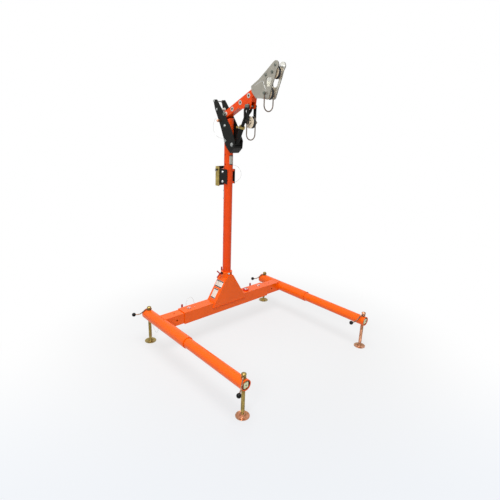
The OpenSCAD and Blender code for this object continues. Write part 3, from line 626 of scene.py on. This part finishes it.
# Dished plate, and the socket round the ball
FOOT = [(0, 0), (0, 45.4), (0.9, 46.5), (4.5, 46.5), (5.5, 45.6), (5.5, 44.2), (4.4, 42.2),
        (3.4, 40), (3.4, 31), (4.4, 30), (4.4, 27.4), (3.4, 26.4), (3.9, 21), (6, 18.8),
        (10, 17.7), (18.6, 17), (19.8, 16.4), (20, 15), (20, 10.8), (19, 10), (17, 11.2),
        (13, 11.8), (8, 10.8), (3.8, 7.3), (1.3, 0)]
CRANK = [(-20, 0, 297), (22, 0, 297), (75, 0, 247), (118.5, 0, 245)]
CRANK_END = [(0, 0), (0, 5), (1, 6.25), (3, 6.25), (3.6, 4.6), (3.6, 0)]
CRANK_BEND, CRANK_RADIUS = 18, 4.25
KNOB_AT, KNOB_RADIUS = (124.5, 0, 245), 16


def knob_profile(radius, flat=20, steps=16):
    """A ball with a flat where the rod goes in."""
    angles = [math.radians(flat + (180 - flat) * i / steps) for i in range(steps + 1)]
    ball = [(-radius * math.cos(a), radius * math.sin(a)) for a in angles]
    return [(ball[0][0], 0), (ball[0][0], ball[0][1] - 0.8)] + ball[:-1] + [(radius, 0)]


def make_jack(name, side, y, azimuth, screw_metal, foot_metal):
    where = Matrix.Translation((side * LEG_X, y, 0))
    screw = bmesh.new()
    add_to(screw, turned(SCREW))
    add_to(screw, ridged(**THREAD))
    piece(f"{name}_threaded_screw", screw, screw_metal, f"{name}_jack", [f"{name}_screw"], where)
    foot = turned(FOOT, 64)
    piece(f"{name}_dished_foot", foot, foot_metal, f"{name}_pad", [f"{name}_foot"], where)
    swung = where @ rotation(azimuth, "Z")
    crank = bmesh.new()
    add_to(crank, sweep(rounded(CRANK, CRANK_BEND), CRANK_RADIUS, 14))
    add_to(crank, turned(CRANK_END), between(CRANK[0], CRANK[1]))
    piece(f"{name}_bent_crank", crank, crank_bronze, f"{name}_handle", [f"{name}_crank"], swung)
    along = Matrix.Translation(KNOB_AT) @ rotation(90, "Y")
    knob = turned(knob_profile(KNOB_RADIUS), 40)
    piece(f"{name}_ball_knob", knob, knob_black, f"{name}_handle", [f"{name}_knob"],
          swung @ along)


def make_jacks():
    for name, facts in JACKS.items():
        make_jack(name, *facts)


def make_front_housings():
    """The face plate of each jack nut, a dark disc of painted shade for its hole, and painted shade
    inside the tube.
    """
    nut_front = FRONT_JACK - 20.9
    for name, side in (("left", LEFT), ("right", RIGHT)):
        body = f"{name}_extension_frame"
        front = Matrix.Translation((side * LEG_X, nut_front, TUBE_Z)) @ rotation(90, "X")
        face = bmesh.new()
        add_to(face, slab(rounded_box(19, 20, 4), 2.6))
        add_to(face, turned([(2.4, 0), (2.4, 7.5), (3.2, 7.5), (3.4, 6.8), (3.4, 0)]))
        piece(f"{name}_nut_plate", face, pale_zinc, body, (), front)
        # A dark disc stands for the hole: painted shade in its depth.
        hole = turned([(3.3, 0), (3.3, 4.2), (3.7, 4), (3.7, 0)])
        piece(f"{name}_nut_hole_shade", hole, deep_black, body, (), front)
        # A dark skin inside the tube's bore: painted shade.
        lining = turned([(0, 31.7), (0, 31.5), (250, 31.5), (250, 31.7)], 64)
        inward = Matrix.Translation((side * LEG_X, LEG_END, TUBE_Z)) @ rotation(-90, "X")
        piece(f"{name}_tube_shade_lining", lining, tube_shade_brown, body, (), inward)


def rounded_box(half_x, half_y, radius, steps=5):
    """Outline of a rectangle with rounded corners."""
    outline = []
    for quarter, (sx, sy) in enumerate(((1, 1), (-1, 1), (-1, -1), (1, -1))):
        for i in range(steps + 1):
            angle = math.radians(90 * (quarter + i / steps))
            outline.append((sx * (half_x - radius) + radius * math.cos(angle),
                            sy * (half_y - radius) + radius * math.sin(angle)))
    return outline


# Bolts
def facing(side, at, x):
    """Local z points outwards from the side of x = 0, at a point given in y and z."""
    return Matrix.Translation((side * x, *at)) @ rotation(90 * side, "Y")


def add_bolt(whole, at, half, shank, head, height):
    """A hex bolt along x: head on the left, nut and thread end on the right, two washers."""
    add_to(whole, turned([(-half, 0), (-half, shank), (half, shank), (half, 0)], 32), along_x(at))
    rim = head * 1.16
    washer = [(0, 0), (0, rim - 0.4), (0.3, rim), (1.3, rim), (WASHER, rim - 0.4), (WASHER, 0)]
    for side in (LEFT, RIGHT):
        out = facing(side, at, half)
        add_to(whole, turned(washer, 40), out)
        turn = Matrix.Translation((0, 0, WASHER)) @ rotation(17 * side + at[0], "Z")
        add_to(whole, hexagon(head, height - WASHER), out @ turn)
    tip = [(height - 1, 0), (height - 1, shank), (height + 1.2, shank), (height + 2, shank - 0.8),
           (height + 2, 0)]
    add_to(whole, turned(tip, 32), facing(RIGHT, at, half))


WASHER = 1.6
# Each bolt: place, half its grip, radii of shank and head, height of its head with the washer
HEAD_BOLTS = [(UPPER_SHEAVE, HEAD_OUT, 6, 10, 6), (LOWER_SHEAVE, 48.8, 6, 10, 6),
              ((-428, 2093), HEAD_OUT, 5, 9, 5), (HEAD_TIP, HEAD_OUT, 5, 9, 5),
              (STRUT_TOP, 32.2, 7, 11, 4), (BLOCK_TOP, 37.7, 7, 12, 6)]
PIVOT_BOLTS = [(PIVOT, PLATE_OUT, 9, 12.5, 7)]
MAST_BOLTS = [(STRUT_FOOT, PLATE_OUT, 8, 13, 7), ((102, 1876), PLATE_OUT, 5, 9, 5),
              ((139, 1938), PLATE_OUT, 5, 9, 5), ((-7, 1640), PLATE_OUT, 5, 10, 6),
              ((0, 1755), PLATE_OUT, 5, 10, 6)]
WINCH_BOLTS = [((18, 1319), WINCH_OUT, 5, 9, 6), ((18, 1397), WINCH_OUT, 5, 9, 6)]


def make_bolt_set(name, bolts, finish, body, stands_for=()):
    whole = bmesh.new()
    for facts in bolts:
        add_bolt(whole, *facts)
    piece(name, whole, finish, body, stands_for)


def make_bolts():
    make_bolt_set("head_hex_bolts", HEAD_BOLTS, bolt_grey, "boom_frame", ["head_bolts"])
    spacer = [(-30.6, 0), (-30.6, 7.8), (-29.9, 8.5), (29.9, 8.5), (30.6, 7.8), (30.6, 0)]
    piece("head_tip_spacer", turned(spacer, 40), bright_zinc, "boom_frame", (),
          along_x(HEAD_TIP))
    make_bolt_set("mast_hex_bolts", MAST_BOLTS, bolt_zinc, "mast", ["mast_bolts"])
    make_bolt_set("boom_pivot_bolt", PIVOT_BOLTS, bolt_grey, "mast")
    make_bolt_set("winch_hex_bolts", WINCH_BOLTS, bright_zinc, "mast")


# Sheaves: CAD node, body, place, radius and half the length of the hub
SHEAVES = [("head_upper_sheave", "upper_sheave", UPPER_SHEAVE, 41, 30.4),
           ("head_lower_sheave", "lower_sheave", LOWER_SHEAVE, 41, 30.4),
           ("pulley_sheave", "block_sheave", BLOCK, 43, 31.8)]
BORE_RADIUS = 6.1
GROOVE_RADIUS = 12.4


def groove(radius, groove_radius):
    """The rope groove in the rim of a sheave, from side to side."""
    angles = [math.radians(d) for d in range(-84, 85, 12)]
    return [(groove_radius * math.sin(a), radius + 1 - groove_radius * math.cos(a))
            for a in angles]


def sheave_profile(radius, hub_half):
    """Hub, dished side, rim and rope groove, from one end of the bore to the other."""
    side = [(hub_half, BORE_RADIUS), (hub_half, 12.2), (hub_half - 0.8, 13), (15.6, 13),
            (14.6, 14.2), (12.6, 16), (12.6, radius - 9), (15, radius - 7), (15, radius - 1.2),
            (13.9, radius)]
    far_side = [(-height, r) for height, r in side]
    return far_side + groove(radius, GROOVE_RADIUS) + side[::-1] + [(-hub_half, BORE_RADIUS)]


def groove_shade_skin(radius):
    """A thin black skin of painted shade in the rope groove."""
    outer, inner = groove(radius, GROOVE_RADIUS - 0.3), groove(radius, GROOVE_RADIUS + 0.5)
    return outer + inner[::-1] + outer[:1]


def make_sheaves():
    for node, body, at, radius, hub_half in SHEAVES:
        wheel = turned(sheave_profile(radius, hub_half), 72)
        piece(f"{node}_wheel", wheel, cream, body, [node], along_x(at))
        # The groove's black skin is painted shade.
        lining = turned(groove_shade_skin(radius), 72)
        piece(f"{node}_groove", lining, groove_painted_shade, body, (), along_x(at))
        rings = bmesh.new()
        for side in (LEFT, RIGHT):
            ring = turned([(14.9, 13.2), (15.9, 13.6), (15.9, 15.6), (12.5, 16.6)], 48)
            add_to(rings, ring, facing(side, at, 0))
        piece(f"{node}_rings", rings, dark_steel, body)


# Level
LEVEL_X = 236


def make_level():
    """The vial of the bullseye level, the bezel round it, and its rings and bubble."""
    at = Matrix.Translation((LEVEL_X, 0, BEAM_TOP))
    face = turned([(7, 0), (7, 15.4), (11.6, 15.4), (12.3, 12), (12.6, 7), (12.7, 0)], 48)
    piece("level_vial", face, vial_white, "base", (), at)
    bezel = turned([(7, 15.2), (11.8, 15.2), (12.4, 16), (12.4, 20.9), (7, 20.9), (7, 15.2)], 48)
    piece("level_bezel", bezel, red_plastic, "base", (), at)
    marks = bmesh.new()
    add_to(marks, turned([(11.9, 11.6), (12.5, 11.5), (12.4, 10.4), (11.8, 10.3)], 48))
    add_to(marks, turned([(12.5, 7.4), (12.9, 7.3), (12.9, 6.4), (12.5, 6.3)], 40))
    piece("level_rings", marks, deep_black, "base", (), at)
    bubble = turned([(12.5, 0), (12.5, 4.2), (12.9, 3.6), (13.1, 0)], 32)
    piece("level_bubble", bubble, bubble_green, "base", (), at @ Matrix.Translation((2.5, 1.5, 0)))


# Plates on the left sloping plate: name, distance up the slope, y, half width, half height
SLOPE_FOOT = Vector((-163, 0, BEAM_TOP))
SLOPE_UP = Vector((118, 0, 195.4)).normalized()
PLATES = [("upper_plate", 161.5, 3, 45, 31), ("lower_plate", 70, 7, 29, 45)]


def on_slope(up, y):
    """Local x and y lie on the left sloping plate, and local z stands out of it."""
    out = Vector((-SLOPE_UP.z, 0, SLOPE_UP.x))
    axes = Matrix((Vector((0, -1, 0)), SLOPE_UP, out)).transposed().to_4x4()
    return Matrix.Translation(SLOPE_FOOT + SLOPE_UP * up + Vector((0, y, 0))) @ axes


def make_plates():
    """Two bare plates with dark end bands."""
    for name, up, y, half_x, half_y in PLATES:
        where = on_slope(up, y)
        plate = slab(rounded_box(half_x, half_y, 3), 0.8, 0.2)
        piece(name, plate, plate_cream, "base", (), where)
        bands = bmesh.new()
        for end in (-1, 1):
            band = slab(rounded_box(half_x - 0.6, 4.6, 1.5), 0.5, 0.15)
            add_to(bands, band, Matrix.Translation((0, end * (half_y - 6), 0.7)))
        piece(f"{name}_bands", bands, band_grey, "base", (), where)


# Trim on the mast and on the socket's collar
BAND_LOW, BAND_HIGH, BAND_ANGLES = 1455, 1531, (-119, -62)
KEEPER_AZIMUTH, KEEPER_Z = 158, 1213
SET_BOLT_AZIMUTH, TAPPED_HOLE_AZIMUTH, SET_BOLT_Z = -105, -80, 525


def patch(radius, thickness, low, high, start, end):
    """A thin curved plate round local z, between two angles in degrees."""
    bm = bmesh.new()
    outer = radius + thickness
    corners = ((radius, low), (outer, low), (outer, high), (radius, high))
    verts = [bm.verts.new((r, 0, z)) for r, z in corners]
    edges = [bm.edges.new((a, b)) for a, b in zip(verts, verts[1:] + verts[:1])]
    spin(bm, verts, edges, math.radians(end - start), 16)
    bmesh.ops.holes_fill(bm, edges=bm.edges, sides=4)
    bmesh.ops.transform(bm, matrix=rotation(start, "Z"), verts=bm.verts)
    return bm


def on_mast(azimuth, z, radius):
    """Local z points away from the mast's axis, and local y points up."""
    turn = rotation(azimuth, "Z") @ rotation(90, "Y") @ rotation(90, "Z")
    out = Vector((math.cos(math.radians(azimuth)), math.sin(math.radians(azimuth)), 0)) * radius
    return Matrix.Translation(out + Vector((0, 0, z))) @ turn


def make_mast_trim():
    band = patch(MAST_RADIUS, 0.4, BAND_LOW, BAND_HIGH, *BAND_ANGLES)
    piece("mast_band", band, band_stone, "mast")
    ends = bmesh.new()
    for low in (BAND_LOW, BAND_HIGH - 8):
        add_to(ends, patch(MAST_RADIUS + 0.2, 0.4, low, low + 8, *BAND_ANGLES))
    piece("mast_band_ends", ends, band_grey, "mast")
    strip = bmesh.new()
    add_to(strip, slab(rounded_box(5, 40, 2.5), 2.2),
           on_mast(KEEPER_AZIMUTH, KEEPER_Z, MAST_RADIUS - 0.4))
    piece("mast_keeper", strip, bright_zinc, "mast")
    screws = bmesh.new()
    screw = [(0, 0), (0, 4.2), (1.4, 3.9), (2.4, 2.2), (2.6, 0)]
    for z in (KEEPER_Z - 32, KEEPER_Z + 32):
        add_to(screws, turned(screw, 24), on_mast(KEEPER_AZIMUTH, z, MAST_RADIUS + 1.7))
    piece("mast_keeper_screws", screws, deep_black, "mast")


def make_collar_trim():
    bolt = bmesh.new()
    washer = [(0, 0), (0, 8.4), (1.4, 8.4), (WASHER, 8), (WASHER, 0)]
    add_to(bolt, turned(washer, 32), on_mast(SET_BOLT_AZIMUTH, SET_BOLT_Z, COLLAR_RADIUS - 0.2))
    add_to(bolt, hexagon(7.2, 5), on_mast(SET_BOLT_AZIMUTH, SET_BOLT_Z, COLLAR_RADIUS + 1.4))
    piece("collar_set_bolt", bolt, bright_zinc, "base")
    # A dark disc for the tapped hole: painted shade in its depth.
    hole = turned([(0, 0), (0, 6.4), (0.5, 6.2), (0.5, 0)], 32)
    piece("collar_hole_shade", hole, deep_black, "base", (),
          on_mast(TAPPED_HOLE_AZIMUTH, SET_BOLT_Z, COLLAR_RADIUS - 0.3))
    lip = [(240.2, 48.3), (242, 49.4), (244.2, 49.4), (244.9, 48.2), (244.9, 37.2), (240.2, 37.2)]
    above_beam = [(BEAM_TOP + rise, radius) for rise, radius in lip]
    piece("collar_lip", turned(above_beam, 72), orange, "base")


# Welds. CHEEK is the outline of the head's cheek plates.
GUSSET_Y = 57.4
CHEEK = [(-321, 2028.5), (-396, 2055), (-416, 2025), (-434, 1996), (-438, 1960), (-427, 1944),
         (-345, 1950.5)]


def make_welds():
    base = bmesh.new()
    for y in (-GUSSET_Y, GUSSET_Y):
        add_to(base, weld([(-186, y * 0.995, 251), (186, y * 0.995, 251)], 2.3))
        add_to(base, weld([(-22, y * 0.93, 511), (22, y * 0.93, 511)], 2.4))
    for x in (-165, 165):
        add_to(base, weld([(x, -50, BEAM_TOP + 0.5), (x, 50, BEAM_TOP + 0.5)], 2.6))
    angles = [math.radians(a) for a in range(30, 151, 8)]
    ring = [(48.4 * math.cos(a), 48.4 * math.sin(a), 487.5) for a in angles]
    add_to(base, weld(ring, 2))
    add_to(base, weld([(x, -y, z) for x, y, z in ring], 2))
    piece("base_welds", base, weld_orange, "base")
    beads = bmesh.new()
    # Weld beads along the cheek outlines, bright as a painted highlight on the cheek plates' edges.
    for side in (LEFT, RIGHT):
        line = smooth_path([(side * (HEAD_OUT + 0.4), y, z) for y, z in CHEEK], 5)
        add_to(beads, sweep(line, 2.1, 8))
    piece("cheek_highlight_beads", beads, bright_zinc, "boom_frame")


def make_arm_welds():
    """Beads where each square arm meets its round leg."""
    for name, side in (("left", LEFT), ("right", RIGHT)):
        seams = bmesh.new()
        saddle = [(side * (LEG_X - math.sqrt(LEG_RADIUS ** 2 - rise ** 2) - 0.5), TUBE_Z + rise)
                  for rise in range(-42, 43, 6)]
        for y in (-LEG_RADIUS - 0.4, LEG_RADIUS + 0.4):
            add_to(seams, weld([(x, y, z) for x, z in saddle], 2.6))
        x = side * (LEG_X - 9)
        for rise in (LEG_RADIUS - 0.3, -LEG_RADIUS + 0.3):
            z = TUBE_Z + rise
            add_to(seams, weld([(x, -LEG_RADIUS, z), (x, LEG_RADIUS, z)], 2.4))
        piece(f"{name}_arm_welds", seams, weld_orange, f"{name}_leg_frame")


def make_bore_linings():
    """The painted inside of the bushings, which shows in the ringed holes."""
    for i, along in enumerate(BUSHINGS_ALONG, 1):
        lining = turned([(-26, 8), (-26, 7.5), (26, 7.5), (26, 8), (-26, 8)], 40)
        at = (PIVOT[0] - along * math.cos(BOOM_ANGLE), PIVOT[1] + along * math.sin(BOOM_ANGLE))
        piece(f"boom_bore_lining_{i}", lining, bore_orange_brown, "boom_frame", (), along_x(at))


# Lanyards: pin, what it locks, where the wire stops going with the pin (None: at its end), path
LANYARD_D = 1.6
LANYARDS = {
    "pull_pin_lanyard": ("mast_pin", "mast", None, [
        (-64, 68, 1799), (-66, 92, 1803), (-62, 120, 1770), (-58, 128, 1722), (-54, 106, 1682),
        (-50, 66, 1664), (-47, 34, 1659), (-45, 6, 1658)]),
    "winch_pin_lanyard": ("winch_detent", "mast", (60.85, 89.2, 1407), [
        (57, 90, 1407), (61, 90, 1407), (66, 82, 1414), (65, 62, 1431), (62, 20, 1446),
        (56, -50, 1440), (50, -98, 1404), (48, -100, 1364), (46, -66, 1330), (44, -26, 1310),
        (43.5, -16, 1309)]),
    "arm_pin_lanyard": ("left_arm_ring_pin", "base", None, [
        (-413, 0, 298), (-424, -2, 318), (-426, -2, 356), (-404, -2, 384), (-380, 0, 388),
        (-358, 0, 364), (-346, 0, 324), (-342, 0, 291)]),
    "leg_pin_lanyard": ("left_leg_ring_pin", "left_leg_frame", None, [
        (-LEG_X, y, z) for y, z in ((149, 188), (140, 177), (127, 153), (103, 131), (78, 125),
                                    (57, 143), (46, 176), (44, 197))]),
}
RIVET = [(-0.6, 0), (-0.6, 3.4), (1.6, 3.4), (2.4, 2.2), (2.4, 0)]


def smooth_path(points, steps=6):
    """A smooth curve through the points."""
    points = [Vector(p) for p in points]
    padded = [points[0] * 2 - points[1], *points, points[-1] * 2 - points[-2]]
    path = []
    for a, b, c, d in zip(padded, padded[1:], padded[2:], padded[3:]):
        for i in range(steps):
            t = i / steps
            path.append((b * 2 + (c - a) * t + (a * 2 - b * 5 + c * 4 - d) * t ** 2
                         + (b * 3 - a - c * 3 + d) * t ** 3) / 2)
    return path + [points[-1]]


def make_lanyards():
    """Thin wire tethers from the pull pins to what they lock.
    """
    for name, (pin, holder, still_from, points) in LANYARDS.items():
        path = smooth_path(points)
        wire = piece(name, sweep(path, LANYARD_D / 2, 8), wire_grey, None)
        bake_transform(wire)


def make_lanyard_ends():
    ferrules = bmesh.new()
    add_to(ferrules, turned([(0, 0), (0, 3.6), (1.8, 3.6), (2.8, 2.4), (2.8, 0)], 20),
           facing(LEFT, (4, 1658), PLATE_OUT - 0.1))
    add_to(ferrules, turned([(0, 0), (0, 2), (6, 2.4), (6.4, 0)], 16),
           between((46, -30, 1312), (43.4, -16, 1309)))
    piece("mast_lanyard_ferrules", ferrules, bright_zinc, "mast")
    on_beam = Matrix.Translation((-342, 0, BEAM_TOP))
    piece("beam_lanyard_rivet", turned(RIVET, 24), bright_zinc, "base", (), on_beam)
    under_leg = Matrix.Translation((-LEG_X, 44, TUBE_Z - LEG_RADIUS)) @ rotation(180, "X")
    piece("leg_lanyard_rivet", turned(RIVET, 24), bright_zinc, "left_leg_frame", (), under_leg)


# Winch bracket
def make_winch_trim():
    """The cap of the winch's detent pin, and the ring that hangs from it."""
    cap = turned([(50, 0), (50, 7.4), (51.5, 8.6), (55, 9), (59.5, 8.4), (62, 6), (62.6, 0)], 40)
    piece("winch_pin_cap", cap, bright_zinc, "winch_detent", (), facing(LEFT, WINCH_PIN, 0))
    y, z = WINCH_PIN
    loop = sweep([(-61, y + 9 * math.cos(t), z - 8 + 9 * math.sin(t))
                  for t in (math.tau * i / 24 for i in range(25))], 1.1, 8)
    piece("winch_pin_ring", loop, bright_zinc, "winch_detent")


set_camera()
make_lanyards()
make_lanyard_ends()
make_jacks()
make_front_housings()
make_bolts()
make_sheaves()
make_level()
make_plates()
make_mast_trim()
make_collar_trim()
make_welds()
make_arm_welds()
make_bore_linings()
make_winch_trim()

set_floor()
set_world()
area_light("key", (-4.8, -2.6, 4.2), (0, 0, 0.9), 2.6, 190)
area_light("top", (-0.6, -0.5, 5.2), (0, 0, 0), 3.4, 215)
finish_nodes()

bpy.context.scene.view_settings.view_transform = "Standard"
